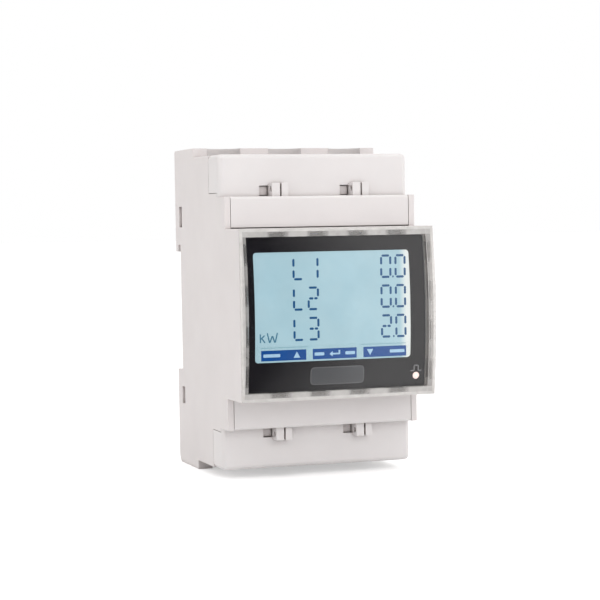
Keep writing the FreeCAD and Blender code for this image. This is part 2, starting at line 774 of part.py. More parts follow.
def display_board():
    """The board behind the display, with its driver chip and the lamps of the backlight."""
    front = "-display_depth - board_thick"
    piece(block("display_board", ("-width / 2 + 1.9", "width / 2 - 1.9"),
                (front, "-display_depth"), ("1.8 - nose_span / 2", "nose_span / 2 - 1.8")),
          "display_board")
    piece(block("display_driver_chip", ("6", "14"), ("-display_depth", "1.4 - display_depth"),
                ("-10", "-2")), "display_driver_chip")
    middle = "(glass_right - glass_left) / 2"
    lamps = [block(f"backlight_{number}", (f"{middle} + {shift} - 1.5", f"{middle} + {shift} + 1.5"),
                   (f"{front} - 1.1", front), ("1", "3"))
             for number, shift in enumerate((-12, 0, 12), 1)]
    piece(gather("backlight_leds", *lamps), "backlight_leds")


# Electronics behind the display

def main_board():
    """The measuring board, screwed to the four posts of the rear base."""
    body = doc.addObject("PartDesign::Body", "main_board")
    outline = rect("-width / 2 + 1.9", "width / 2 - 1.9", "0.4 - bay_span / 2", "bay_span / 2 - 0.4")
    front = "-board_depth - board_thick"
    grow(body, "laminate", "XZ_Plane", [outline], front, "-board_depth")
    holes = [(f"{side} * post_across", f"{end} * post_up", "pilot / 2 + 0.1")
             for side in (-1, 1) for end in (-1, 1)]
    carve(body, "screw_holes", "XZ_Plane", holes, front, "-board_depth")
    piece(body, "main_board")
    screws = []
    for number, (across, up, radius) in enumerate(holes, 1):
        head = rod(f"board_screw_head_{number}", "y", (across, f"{front} - 1.5", up), "1.5", "2.2")
        shank = rod(f"board_screw_shank_{number}", "y", (across, front, up), "8",
                    "pilot / 2 - 0.05")
        screws.append(fuse(f"board_screw_{number}", head, shank))
    piece(gather("board_screws", *screws), "board_screws")


def board_parts():
    """The larger parts soldered to the front of the measuring board."""
    face = "-board_depth - board_thick"
    tall = (f"{face} - 10", face)
    flat = (f"{face} - 1.4", face)
    piece(block("metering_chip", ("-5", "5"), flat, ("-5", "5")), "metering_chip")
    piece(block("signal_isolator", ("-4", "4"), flat, ("-16", "-11")), "signal_isolator")
    piece(block("film_capacitor", ("-24", "-12"), tall, ("-12", "-6")), "film_capacitor")
    core = block("transformer_core", ("8.5", "23.5"), (f"{face} - 9", f"{face} - 2"), ("-12", "3"))
    winding = block("transformer_winding", ("10.5", "21.5"), tall, ("-15", "6"))
    piece(fuse("supply_transformer", core, winding), "supply_transformer")
    cans = [rod(f"can_{number}", "y", (across, f"{face} - 10", "2"), "10", "3.5")
            for number, across in enumerate(("-20", "-12"), 1)]
    piece(gather("electrolytic_capacitors", *cans), "electrolytic_capacitors")
    discs = [rod(f"disc_{pole}", "x", (f"{pole_x(pole)} - 1.7", f"{face} - 3.6", "20.5"), "3.4",
                 "3.6") for pole in POLES]
    piece(gather("varistors", *discs), "varistors")


def board_link():
    """The header and the row of pins that join the two boards."""
    face = "-board_depth - board_thick"
    piece(block("board_header", ("-6.5", "6.5"), (f"{face} - 8", face), ("10", "12.6")),
          "board_header")
    pins = [rod(f"header_pin_{number}", "y", (f"{number - 3} * 2.54", "-display_depth", "11.3"),
                f"display_depth + {face} - 8", "0.32") for number in range(1, 6)]
    piece(gather("header_pins", *pins), "header_pins")


def current_path(pole):
    """A busbar from the top clamp to the bottom one, through its current transformer."""
    body = doc.addObject("PartDesign::Body", f"phase_busbar_{pole}")
    tip = "chamber_span / 2 - 1.5"
    half = "bar_width / 2"
    outline = [
        (f"-({half})", f"1 - ({tip})"), (f"1 - ({half})", f"-({tip})"),
        (f"{half} - 1", f"-({tip})"), (half, f"1 - ({tip})"),
        (half, f"{tip} - 1"), (f"{half} - 1", tip),
        (f"1 - ({half})", tip), (f"-({half})", f"{tip} - 1"),
    ]
    grow(body, f"bar_{pole}", "XZ_Plane", [outline], "-bar_depth", "bar_thick - bar_depth")
    put(body, pole_x(pole), "0", "0")
    piece(body, f"phase_busbar_{pole}")

    coil = doc.addObject("PartDesign::Body", f"current_transformer_{pole}")
    inner = "coil_inner / 2"
    outer = "coil_outer / 2"
    end = "coil_length / 2"
    spin(coil, f"ring_{pole}", [
        (inner, f"0.6 - {end}"), (f"{inner} + 0.6", f"-{end}"), (f"{outer} - 0.8", f"-{end}"),
        (outer, f"0.8 - {end}"), (outer, f"{end} - 0.8"), (f"{outer} - 0.8", end),
        (f"{inner} + 0.6", end), (inner, f"{end} - 0.6")])
    coil.Placement = Placement(Vector(), Rotation(Vector(1, 0, 0), 90))
    put(coil, pole_x(pole), "bar_thick / 2 - bar_depth", "0")
    piece(coil, f"current_transformer_{pole}")


def coil_carrier():
    """The cradle on the rear base that holds the three current transformers."""
    tray = block("carrier_tray", ("2.1 - width / 2", "width / 2 - 2.1"), ("-14", "-2"),
                 ("-coil_length / 2", "coil_length / 2"))
    beds = [rod(f"carrier_bed_{pole}", "z",
                (pole_x(pole), "bar_thick / 2 - bar_depth", "-coil_length"),
                "2 * coil_length", "coil_outer / 2 + 0.05") for pole in POLES]
    piece(cut("coil_carrier", tray, *beds), "coil_carrier")
    taps = [rod(f"tap_{pole}", "y", (pole_x(pole), "-board_depth", "14"),
                "board_depth - bar_depth", "0.5") for pole in POLES]
    piece(gather("voltage_taps", *taps), "voltage_taps")


# Clamps

def main_cage(row, sign, pole):
    """The rising clamp of one main terminal: a threaded nut wall and a window for the wire."""
    middle = pole_x(pole)
    name = f"main_cage_{row}_{pole}"
    front = "-(cage_back + cage_wall + cage_opening + cage_nut)"
    z = mirrored(sign, "terminal_row - cage_tall / 2", "terminal_row + cage_tall / 2")
    outside = block(f"{name}_outside",
                    (f"{middle} - cage_width / 2", f"{middle} + cage_width / 2"),
                    (front, "-cage_back"), z)
    inner = "(cage_width / 2 - cage_wall)"
    passage = block(f"{name}_passage", (f"{middle} - {inner}", f"{middle} + {inner}"),
                    (f"{front} + cage_nut", "-cage_back - cage_wall"),
                    mirrored(sign, "terminal_row - cage_tall", "terminal_row + cage_tall"))
    thread = rod(f"{name}_thread", "y", (middle, f"{front} - 1", f"{sign} * terminal_row"),
                 "cage_nut + 2", "clamp_thread / 2 + 0.05")
    piece(cut(name, outside, passage, thread), name)


def screw(name, thread, head, shank, head_tall, slot):
    """A slotted cheese-head screw along +Y, its head at the -Y end and its tip at the origin."""
    body = doc.addObject("PartDesign::Body", name)
    end = f"-({shank})"
    top = f"-({shank}) - {head_tall}"
    spin(body, f"{name}_blank", [
        ("0", "0"), (f"{thread} / 2 - 0.4", "0"), (f"{thread} / 2", "-0.4"),
        (f"{thread} / 2", end), (f"{head} / 2", end), (f"{head} / 2", f"{top} + 0.2"),
        (f"{head} / 2 - 0.2", top), ("0", top)])
    groove = rect(f"-{slot} / 2", f"{slot} / 2", f"-{head}", head)
    carve(body, f"{name}_slot", "XZ_Plane", [groove], f"{top} - 0.5", f"{top} + {head_tall} / 2")
    return body


def main_screw(row, sign, pole):
    """The clamp screw of one main terminal, its tip just clear of the busbar."""
    name = f"main_screw_{row}_{pole}"
    body = screw(name, "clamp_thread", "clamp_head",
                 "chamber_depth - 1.5 - bar_depth - play", "3.4", "1.2")
    put(body, pole_x(pole), "-bar_depth - play", f"{sign} * terminal_row")
    piece(body, name)


def signal_terminals():
    """A four-way terminal block on the board, reached by lifting the bottom cover."""
    front = "-(bay_depth + 1.3)"
    chamber_front = "-(bay_depth + 0.1)"
    floor = "0.3 - bay_span / 2"
    outside = block("signal_outside", ("-signal_block / 2", "signal_block / 2"),
                    (front, "-board_depth - board_thick"), (floor, "8.2 - bay_span / 2"))
    tools = []
    bars = []
    for number in SIGNALS:
        middle = signal_x(number)
        tools.append(block(f"signal_chamber_{number}",
                           (f"{middle} - signal_cage / 2 - 0.2", f"{middle} + signal_cage / 2 + 0.2"),
                           (chamber_front, "-33"), (f"{floor} - 1", "-signal_row + 2.3")))
        tools.append(rod(f"signal_port_{number}", "y", (middle, f"{front} - 1", "-signal_row"),
                         "3", "signal_head / 2 + 0.2"))
        bars.append(block(f"signal_bar_{number}", (f"{middle} - 1", f"{middle} + 1"),
                          ("-37.75", "-37.05"), ("-signal_row - 1.6", "-signal_row + 2.3")))
    piece(cut("signal_terminal_block", outside, *tools), "signal_terminal_block")
    piece(gather("signal_contacts", *bars), "signal_contacts")


def signal_clamp(number):
    """The small cage and the screw of one signal terminal."""
    middle = signal_x(number)
    name = f"signal_cage_{number}"
    half = "signal_cage / 2"
    outside = block(f"{name}_outside", (f"{middle} - {half}", f"{middle} + {half}"),
                    ("-38 - signal_nut", "-33.6"), ("-signal_row - 2", "-signal_row + 2"))
    passage = block(f"{name}_passage", (f"{middle} - {half} + 0.5", f"{middle} + {half} - 0.5"),
                    ("-38", "-34.2"), ("-signal_row - 3", "-signal_row + 3"))
    thread = rod(f"{name}_thread", "y", (middle, "-39 - signal_nut", "-signal_row"),
                 "signal_nut + 2", "signal_thread / 2 + 0.05")
    piece(cut(name, outside, passage, thread), name)
    name = f"signal_screw_{number}"
    body = screw(name, "signal_thread", "signal_head", "bay_depth + 0.3 - 38", "0.9", "0.7")
    put(body, middle, "-38", "-signal_row")
    piece(body, name)


def build():
    """Makes every sub-part."""
    make_sheet()
    main_housing()
    rear_base()
    rail_clip()
    window()
    label_panel()
    display_stack()
    pulse_led()
    display_board()
    main_board()
    board_parts()
    board_link()
    coil_carrier()
    signal_terminals()
    for row, sign in ROWS.items():
        terminal_cover(row, sign)
        for pole in POLES:
            main_cage(row, sign, pole)
            main_screw(row, sign, pole)
    for pole in POLES:
        current_path(pole)
    for number in SIGNALS:
        signal_clamp(number)
    doc.recompute()


def check():
    """Stops if any object failed or any sub-part has no valid shape."""
    for item in doc.Objects:
        if "Invalid" in item.State or "Error" in item.State:
            raise RuntimeError(f"{item.Name} failed: {item.State}")
    for item in pieces:
        if item.Shape.isNull() or not item.Shape.isValid() or not item.Shape.Solids:
            raise RuntimeError(f"{item.Label} has no valid shape")


def export():
    """Writes one file a sub-part."""
    os.makedirs("parts", exist_ok=True)
    for item in pieces:
        item.Shape.exportStep(f"parts/{item.Label}.step")
        box = item.Shape.BoundBox
        print(f"{item.Label:26} {len(item.Shape.Solids)} solid(s) {item.Shape.Volume:10.1f} mm3 "
              f"x {box.XMin:6.2f} {box.XMax:6.2f}  y {box.YMin:6.2f} {box.YMax:6.2f}  "
              f"z {box.ZMin:6.2f} {box.ZMax:6.2f}")


build()
check()
export()
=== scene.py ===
import json
import math

import bmesh
import bpy
from mathutils import Matrix, Vector


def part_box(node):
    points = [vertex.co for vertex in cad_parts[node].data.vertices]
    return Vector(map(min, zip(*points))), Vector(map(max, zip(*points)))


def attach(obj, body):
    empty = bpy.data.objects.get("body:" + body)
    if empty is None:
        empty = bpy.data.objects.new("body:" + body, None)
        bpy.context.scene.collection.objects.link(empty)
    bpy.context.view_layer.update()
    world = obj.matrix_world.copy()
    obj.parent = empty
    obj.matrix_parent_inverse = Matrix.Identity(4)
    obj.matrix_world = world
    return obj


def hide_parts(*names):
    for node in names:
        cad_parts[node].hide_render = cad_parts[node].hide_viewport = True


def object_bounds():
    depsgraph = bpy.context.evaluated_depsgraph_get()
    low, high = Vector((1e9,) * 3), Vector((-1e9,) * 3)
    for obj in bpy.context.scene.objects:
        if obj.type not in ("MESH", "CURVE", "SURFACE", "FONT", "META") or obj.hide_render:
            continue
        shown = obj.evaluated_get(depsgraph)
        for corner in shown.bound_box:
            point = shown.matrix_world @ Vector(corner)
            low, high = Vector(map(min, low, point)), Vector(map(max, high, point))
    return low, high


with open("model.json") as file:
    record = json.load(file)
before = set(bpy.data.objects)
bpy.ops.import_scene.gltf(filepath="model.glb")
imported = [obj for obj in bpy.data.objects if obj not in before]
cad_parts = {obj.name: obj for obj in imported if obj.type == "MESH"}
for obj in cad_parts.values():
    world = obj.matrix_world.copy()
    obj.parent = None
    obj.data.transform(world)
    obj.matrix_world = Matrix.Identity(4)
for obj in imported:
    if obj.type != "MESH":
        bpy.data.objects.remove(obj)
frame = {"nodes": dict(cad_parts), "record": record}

# Looks of the rail-mounted electricity meter. Lengths are metres, and MM turns millimetres into
# them. +X is to the right of the display, -Y is the side that the display faces, +Z is up.

MM = 0.001
cad_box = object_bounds()
ROOT = "meter_body"

window_low, window_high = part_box("window")
housing_low, housing_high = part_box("main_housing")
label_low, label_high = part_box("label_panel")
lcd_low, lcd_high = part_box("lcd_glass")
lamp_low, lamp_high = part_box("pulse_led")
foil_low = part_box("touch_key_foil")[0]

# The window's outer face is part of a cylinder that lies along X: its apex, the depth of its edge
# and half its height give its radius.
APEX = window_low.y
RIM = housing_low.y
NOSE_HALF = 22.5 * MM
DOME_RADIUS = (NOSE_HALF ** 2 + (RIM - APEX) ** 2) / (2 * (RIM - APEX))
GLASS_WALL = 1.6 * MM
SKIRT_DEPTH = 2.6 * MM
# Spacing of the window's snap tabs along its long and short edges.
SNAP_ACROSS = 11.0 * MM
SNAP_UP = 10.5 * MM


def dome_y(z, inset=0.0):
    """Depth of the window's curved face at a height, less an inset towards its axis."""
    radius = DOME_RADIUS - inset
    return APEX + DOME_RADIUS - math.sqrt(radius ** 2 - z ** 2)


# Node helpers

def new_material(name):
    """An empty node material with its output, the node tree and the main shader."""
    material = bpy.data.materials.new(name)
    material.use_nodes = True
    tree = material.node_tree
    shader = tree.nodes["Principled BSDF"]
    return material, tree, shader


def add_node(tree, kind, **values):
    """A node with some of its own settings and unlinked inputs filled in."""
    node = tree.nodes.new(kind)
    for key, setting in values.items():
        if hasattr(node, key):
            setattr(node, key, setting)
        else:
            node.inputs[key.replace("_", " ")].default_value = setting
    return node


def object_place(tree):
    """The object's own coordinates, in metres."""
    return tree.nodes.new("ShaderNodeTexCoord").outputs["Object"]


def noise(tree, scale, detail=2.0, roughness=0.5, stretch=None):
    """A noise value over the object's own coordinates, stretched along its axes if asked."""
    place = object_place(tree)
    if stretch:
        mapping = add_node(tree, "ShaderNodeMapping")
        mapping.inputs["Scale"].default_value = stretch
        tree.links.new(place, mapping.inputs["Vector"])
        place = mapping.outputs["Vector"]
    texture = add_node(tree, "ShaderNodeTexNoise", Scale=scale, Detail=detail, Roughness=roughness)
    tree.links.new(place, texture.inputs["Vector"])
    return texture.outputs["Fac"]


def ramp(tree, value, low, high, start, end):
    """Maps a value between two limits onto another span."""
    node = add_node(tree, "ShaderNodeMapRange")
    for name, number in (("From Min", low), ("From Max", high), ("To Min", start), ("To Max", end)):
        node.inputs[name].default_value = number
    tree.links.new(value, node.inputs["Value"])
    return node.outputs["Result"]


def blend_colours(tree, share, first, second):
    """Mixes two colours, each a tuple or a socket, by a share that is a number or a socket."""
    node = add_node(tree, "ShaderNodeMix", data_type="RGBA")
    for socket, given in ((node.inputs["Factor"], share), (node.inputs[6], first),
                          (node.inputs[7], second)):
        if isinstance(given, bpy.types.NodeSocket):
            tree.links.new(given, socket)
        else:
            socket.default_value = given
    return node.outputs[2]


def maths(tree, operation, first, second=0.0):
    """One sum on two values, each a number or a socket."""
    node = add_node(tree, "ShaderNodeMath", operation=operation)
    for socket, given in zip(node.inputs, (first, second)):
        if isinstance(given, bpy.types.NodeSocket):
            tree.links.new(given, socket)
        else:
            socket.default_value = given
    return node.outputs[0]


def spread(tree, value, start, end):
    """Maps the usual span of a noise value, 0.3 to 0.7, onto another span."""
    return ramp(tree, value, 0.3, 0.7, start, end)


def shaded(colour, share):
    """A colour made lighter or darker, with its alpha."""
    return tuple(min(1.0, part * share) for part in colour) + (1,)


def blend_shaders(tree, share, first, second):
    """Mixes two shaders by a share that is a number or a socket."""
    node = tree.nodes.new("ShaderNodeMixShader")
    if isinstance(share, bpy.types.NodeSocket):
        tree.links.new(share, node.inputs["Fac"])
    else:
        node.inputs["Fac"].default_value = share
    tree.links.new(first, node.inputs[1])
    tree.links.new(second, node.inputs[2])
    return node.outputs["Shader"]


def show(tree, shader, output="Material Output"):
    """Makes a shader the one that the material or the world shows."""
    tree.links.new(shader, tree.nodes[output].inputs["Surface"])


def bump(tree, shader, heights, distance, strength):
    """Stacks height fields into one bumped normal."""
    normal = None
    for height, share in heights:
        node = add_node(tree, "ShaderNodeBump", Strength=strength * share, Distance=distance)
        tree.links.new(height, node.inputs["Height"])
        if normal:
            tree.links.new(normal, node.inputs["Normal"])
        normal = node.outputs["Normal"]
    tree.links.new(normal, shader.inputs["Normal"])


def corners(tree, reach):
    """How sheltered a point is: 1 in the open, lower in slots and inner corners."""
    node = add_node(tree, "ShaderNodeAmbientOcclusion", samples=6, Distance=reach)
    return node.outputs["AO"]


def highlight_edges(tree, radius):
    """Near 1 on outer edges, from how far a rounded normal leans off the true one."""
    rounded = add_node(tree, "ShaderNodeBevel", samples=4, Radius=radius)
    true = tree.nodes.new("ShaderNodeNewGeometry")
    product = add_node(tree, "ShaderNodeVectorMath", operation="DOT_PRODUCT")
    tree.links.new(rounded.outputs["Normal"], product.inputs[0])
    tree.links.new(true.outputs["Normal"], product.inputs[1])
    return ramp(tree, product.outputs["Value"], 1.0, 0.75, 0.0, 1.0)


# Materials

# Painted shade: how far the corner darkening reaches, and the darker tone that it paints.
SHELTER_REACH = 1.8 * MM
CORNER_SHADE = (0.45, 0.40, 0.375)
# Painted highlight: the radius over which outer edges are lightened.
HIGHLIGHT_RADIUS = 0.35 * MM


def moulded_plastic(name, colour, grain=0.2, gloss=0.46):
    """Spark-eroded plastic: fine pitted grain, drifting tone, painted shade in corners, painted
    highlights on edges.
    """
    material, tree, shader = new_material(name)
    drift = spread(tree, noise(tree, 55, 4, 0.6), 0, 1)
    tone = blend_colours(tree, drift, shaded(colour, 0.975), shaded(colour, 1.015))
    speck = ramp(tree, noise(tree, 2600, 2, 0.7), 0.62, 0.78, 0, 0.16)
    tone = blend_colours(tree, speck, tone, shaded(colour, 0.72))
    # Painted shade: corners and slots that the surface shelters are darkened towards a darker tone.
    shelter = ramp(tree, corners(tree, SHELTER_REACH), 0.2, 0.75, 0.9, 0.0)
    corner_shade = tuple(part * shade for part, shade in zip(colour, CORNER_SHADE)) + (1,)
    tone = blend_colours(tree, shelter, tone, corner_shade)
    # Painted highlight: outer edges are lightened.
    edge_lightening = ramp(tree, highlight_edges(tree, HIGHLIGHT_RADIUS), 0, 1, 0.0, 0.5)
    tone = blend_colours(tree, edge_lightening, tone, shaded(colour, 1.12))
    tree.links.new(tone, shader.inputs["Base Color"])
    sheen = spread(tree, noise(tree, 140, 3, 0.6), gloss - 0.06, gloss + 0.08)
    tree.links.new(sheen, shader.inputs["Roughness"])
    shader.inputs["IOR"].default_value = 1.5
    shader.inputs["Subsurface Weight"].default_value = 0.05
    shader.inputs["Subsurface Radius"].default_value = (1.0, 0.8, 0.7)
    shader.inputs["Subsurface Scale"].default_value = 0.6 * MM
    pits = noise(tree, 3600, 3, 0.65)
    waves = noise(tree, 420, 2, 0.5)
    bump(tree, shader, ((waves, 0.4), (pits, 1.0)), 0.03 * MM, grain)
    return material


# Shares of painted light round the clear edge; they are lower in front of the snap tabs, which
# paints the shade of their pockets.
TAB_HALF_SPOTS = {"across": (3.2 * MM, 2.0 * MM), "up": (3.0 * MM, 1.8 * MM)}
EDGE_LIGHT_ABOVE = (0.5, 0.2)
EDGE_LIGHT_BESIDE = (0.32, 0.14)
EDGE_LIGHT_INNER_WALL = 0.6
EDGE_LIGHT_LAP = 0.62


def tab_spots(tree, along, pitch, spot, last):
    """1 in front of each snap tab of an edge, 0 between them and past the last one."""
    outer, inner = spot
    near = ramp(tree, maths(tree, "PINGPONG", along, pitch / 2), pitch / 2 - outer,
                pitch / 2 - inner, 0, 1)
    within = ramp(tree, maths(tree, "ABSOLUTE", along), last, last + 1 * MM, 1, 0)
    return maths(tree, "MULTIPLY", within, near)


def painted_edge_light(tree):
    """How whitish the clear moulding is painted, as painted light of the white housing seen through
    it: only round its edge, and less in front of a snap tab, as painted shade of its pocket.
    """
    place = add_node(tree, "ShaderNodeSeparateXYZ")
    tree.links.new(object_place(tree), place.inputs["Vector"])
    across, up = place.outputs["X"], place.outputs["Z"]
    wide = maths(tree, "ABSOLUTE", across)
    tall = maths(tree, "ABSOLUTE", up)
    right = ramp(tree, across, label_high.x, label_high.x + 0.08 * MM, 0, 1)
    left = ramp(tree, across, label_low.x - 0.6 * MM, label_low.x - 0.4 * MM, 1, 0)
    beside = maths(tree, "MAXIMUM", left, right)
    above = ramp(tree, tall, label_high.z, label_high.z + 0.15 * MM, 0, 1)
    outside = maths(tree, "MAXIMUM",
                    ramp(tree, wide, window_high.x - 0.2 * MM, window_high.x, 0, 1),
                    ramp(tree, tall, window_high.z - 0.2 * MM, window_high.z, 0, 1))
    wall = ramp(tree, wide, label_high.x + 0.12 * MM, label_high.x + 0.3 * MM, 1, 0)
    inner_wall = maths(tree, "MULTIPLY", beside, wall)
    tab_above = tab_spots(tree, across, SNAP_ACROSS, TAB_HALF_SPOTS["across"], 20 * MM)
    tab_beside = tab_spots(tree, up, SNAP_UP, TAB_HALF_SPOTS["up"], 18.5 * MM)
    shares = (maths(tree, "MULTIPLY", above, ramp(tree, tab_above, 0, 1, *EDGE_LIGHT_ABOVE)),
              maths(tree, "MULTIPLY", beside, ramp(tree, tab_beside, 0, 1, *EDGE_LIGHT_BESIDE)),
              maths(tree, "MULTIPLY", inner_wall, EDGE_LIGHT_INNER_WALL),
              maths(tree, "MULTIPLY", outside, EDGE_LIGHT_LAP))
    most = shares[0]
    for share in shares[1:]:
        most = maths(tree, "MAXIMUM", most, share)
    cloud = spread(tree, noise(tree, 260, 3, 0.6), 0.88, 1.08)
    return maths(tree, "MULTIPLY", most, cloud)


# Share of light that a clear face throws back when it is seen straight on, and how it rises.
STRAIGHT_GLOSS = 0.045
GLOSS_POWER = 5.0


def clear_plastic():
    """Polished clear moulding with a faint tint, wiping marks and soft waves."""
    material, tree, shader = new_material("clear")
    through = add_node(tree, "ShaderNodeBsdfTransparent")
    haze = ramp(tree, noise(tree, 90, 4, 0.6), 0.35, 0.7, 0, 1)
    tint = blend_colours(tree, haze, (0.955, 0.95, 0.945, 1), (0.925, 0.92, 0.915, 1))
    tree.links.new(tint, through.inputs["Color"])
    shader.inputs["Base Color"].default_value = (0.9, 0.9, 0.9, 1)
    shader.inputs["Metallic"].default_value = 1.0
    wiped = ramp(tree, noise(tree, 160, 5, 0.65, (1, 1, 3)), 0.45, 0.75, 0.03, 0.08)
    tree.links.new(wiped, shader.inputs["Roughness"])
    bump(tree, shader, ((noise(tree, 60, 1), 1.0),), 0.05 * MM, 0.03)
    # Painted light: a whitish diffuse share round the edge stands for the white housing seen
    # through it, with painted shade in front of the snap tabs.
    edge_light_diffuse = add_node(tree, "ShaderNodeBsdfDiffuse")
    speck = spread(tree, noise(tree, 700, 4, 0.7), 0, 1)
    tone = blend_colours(tree, speck, (0.80, 0.77, 0.75, 1), (0.92, 0.90, 0.88, 1))
    tree.links.new(tone, edge_light_diffuse.inputs["Color"])
    body = blend_shaders(tree, painted_edge_light(tree), through.outputs["BSDF"], edge_light_diffuse.outputs["BSDF"])
    slant = add_node(tree, "ShaderNodeLayerWeight", Blend=0.5).outputs["Facing"]
    rise = maths(tree, "MULTIPLY", maths(tree, "POWER", slant, GLOSS_POWER), 1 - STRAIGHT_GLOSS)
    gloss = maths(tree, "ADD", rise, STRAIGHT_GLOSS)
    show(tree, blend_shaders(tree, gloss, body, shader.outputs["BSDF"]))
    return material


def clear_foil():
    """Thin clear foil that barely tints what lies behind it."""
    material, tree, shader = new_material("foil")
    through = add_node(tree, "ShaderNodeBsdfTransparent")
    drift = spread(tree, noise(tree, 300, 3), 0, 1)
    tone = blend_colours(tree, drift, (0.97, 0.985, 0.98, 1), (0.99, 0.99, 0.985, 1))
    tree.links.new(tone, through.inputs["Color"])
    tree.links.new(drift, shader.inputs["Roughness"])
    shader.inputs["Base Color"].default_value = (0.8, 0.85, 0.85, 1)
    show(tree, blend_shaders(tree, 0.01, through.outputs["BSDF"], shader.outputs["BSDF"]))
    return material


def label_film():
    """Satin black printed film with a fine stipple."""
    material, tree, shader = new_material("label")
    drift = noise(tree, 90, 3, 0.6)
    tone = blend_colours(tree, drift, (0.006, 0.0055, 0.009, 1), (0.015, 0.0135, 0.019, 1))
    speck = ramp(tree, noise(tree, 3200, 2, 0.8), 0.6, 0.8, 0, 0.5)
    tone = blend_colours(tree, speck, tone, (0.035, 0.033, 0.038, 1))
    tree.links.new(tone, shader.inputs["Base Color"])
    shader.inputs["Specular IOR Level"].default_value = 0.22
    satin = spread(tree, noise(tree, 700, 3), 0.5, 0.62)
    tree.links.new(satin, shader.inputs["Roughness"])
    bump(tree, shader, ((noise(tree, 3000, 2, 0.7), 1.0),), 0.02 * MM, 0.25)
    return material


GLOW_SPAN = (18.0 * MM, 19.9 * MM)


def lit_display():
    """The lit face of the liquid crystal: pale blue, lighter to the right, faintly mottled."""
    material, tree, shader = new_material("display")
    place = add_node(tree, "ShaderNodeSeparateXYZ")
    tree.links.new(object_place(tree), place.inputs["Vector"])
    across = ramp(tree, place.outputs["X"], *GLOW_SPAN, 0, 1)
    mottle = ramp(tree, noise(tree, 130, 3, 0.6), 0.35, 0.65, 0, 1)
    base = blend_colours(tree, mottle, (0.43, 0.655, 0.755, 1), (0.465, 0.68, 0.77, 1))
    glow = blend_colours(tree, across, base, (0.95, 1.0, 0.98, 1))
    rows = add_node(tree, "ShaderNodeTexWave", Scale=900, Distortion=0.0)
    rows.bands_direction = "Z"
    tree.links.new(object_place(tree), rows.inputs["Vector"])
    grid = ramp(tree, rows.outputs["Fac"], 0, 1, 0.0, 0.03)
    glow = blend_colours(tree, grid, glow, (0.30, 0.50, 0.60, 1))
    shader.inputs["Base Color"].default_value = (0.05, 0.08, 0.09, 1)
    tree.links.new(glow, shader.inputs["Emission Color"])
    shader.inputs["Emission Strength"].default_value = 0.98
    shader.inputs["Roughness"].default_value = 0.25
    return material


def ink(name, colour, glow=0.0, gloss=0.5):
    """A print or a liquid crystal segment, uneven in density as ink is, with its own glow."""
    material, tree, shader = new_material(name)
    drift = spread(tree, noise(tree, 900, 3, 0.6), 0, 1)
    tone = blend_colours(tree, drift, shaded(colour, 0.86), shaded(colour, 1))
    if glow:
        shader.inputs["Base Color"].default_value = shaded(colour, 0.1)
        tree.links.new(tone, shader.inputs["Emission Color"])
        shader.inputs["Emission Strength"].default_value = glow
    else:
        tree.links.new(tone, shader.inputs["Base Color"])
    tree.links.new(ramp(tree, drift, 0, 1, gloss - 0.05, gloss + 0.08), shader.inputs["Roughness"])
    return material


def metal(name, colour, roughness, brushed):
    """Plated metal: drawn streaks, spots of tarnish and a varying polish."""
    material, tree, shader = new_material(name)
    streaks = noise(tree, 900, 4, 0.7, brushed)
    tarnish = ramp(tree, noise(tree, 260, 4, 0.65), 0.5, 0.75, 0, 0.45)
    tone = blend_colours(tree, tarnish, shaded(colour, 1), shaded(colour, 0.6))
    tree.links.new(tone, shader.inputs["Base Color"])
    shader.inputs["Metallic"].default_value = 1.0
    polish = spread(tree, streaks, roughness - 0.08, roughness + 0.12)
    tree.links.new(polish, shader.inputs["Roughness"])
    bump(tree, shader, ((streaks, 1.0),), 0.02 * MM, 0.3)
    return material


def laminate():
    """Green solder mask over copper tracks and a woven glass core."""
    material, tree, shader = new_material("laminate")
    tracks = add_node(tree, "ShaderNodeTexVoronoi", Scale=420, feature="DISTANCE_TO_EDGE",
                      distance="MANHATTAN")
    tree.links.new(object_place(tree), tracks.inputs["Vector"])
    line = ramp(tree, tracks.outputs["Distance"], 0.06, 0.09, 1, 0)
    tone = blend_colours(tree, line, (0.012, 0.10, 0.045, 1), (0.035, 0.20, 0.085, 1))
    weave = noise(tree, 2200, 2, 0.6, (1, 1, 0.3))
    tone = blend_colours(tree, ramp(tree, weave, 0.4, 0.7, 0, 0.3), tone, (0.02, 0.13, 0.07, 1))
    tree.links.new(tone, shader.inputs["Base Color"])
    tree.links.new(spread(tree, weave, 0.25, 0.42), shader.inputs["Roughness"])
    bump(tree, shader, ((line, 1.0), (weave, 0.4)), 0.03 * MM, 0.5)
    return material


def glazed(name, colour, gloss=0.3, scale=500, glow=0.0):
    """Dipped, potted or moulded part of one colour family with soft mottling and small waves."""
    material, tree, shader = new_material(name)
    drift = spread(tree, noise(tree, scale, 4, 0.6), 0, 1)
    tone = blend_colours(tree, drift, shaded(colour, 0.8), shaded(colour, 1.15))
    tree.links.new(tone, shader.inputs["Base Color"])
    tree.links.new(ramp(tree, drift, 0, 1, gloss - 0.05, gloss + 0.12), shader.inputs["Roughness"])
    if glow:
        tree.links.new(tone, shader.inputs["Emission Color"])
        shader.inputs["Emission Strength"].default_value = glow
    bump(tree, shader, ((noise(tree, scale * 4, 2), 1.0),), 0.03 * MM, 0.3)
    return material


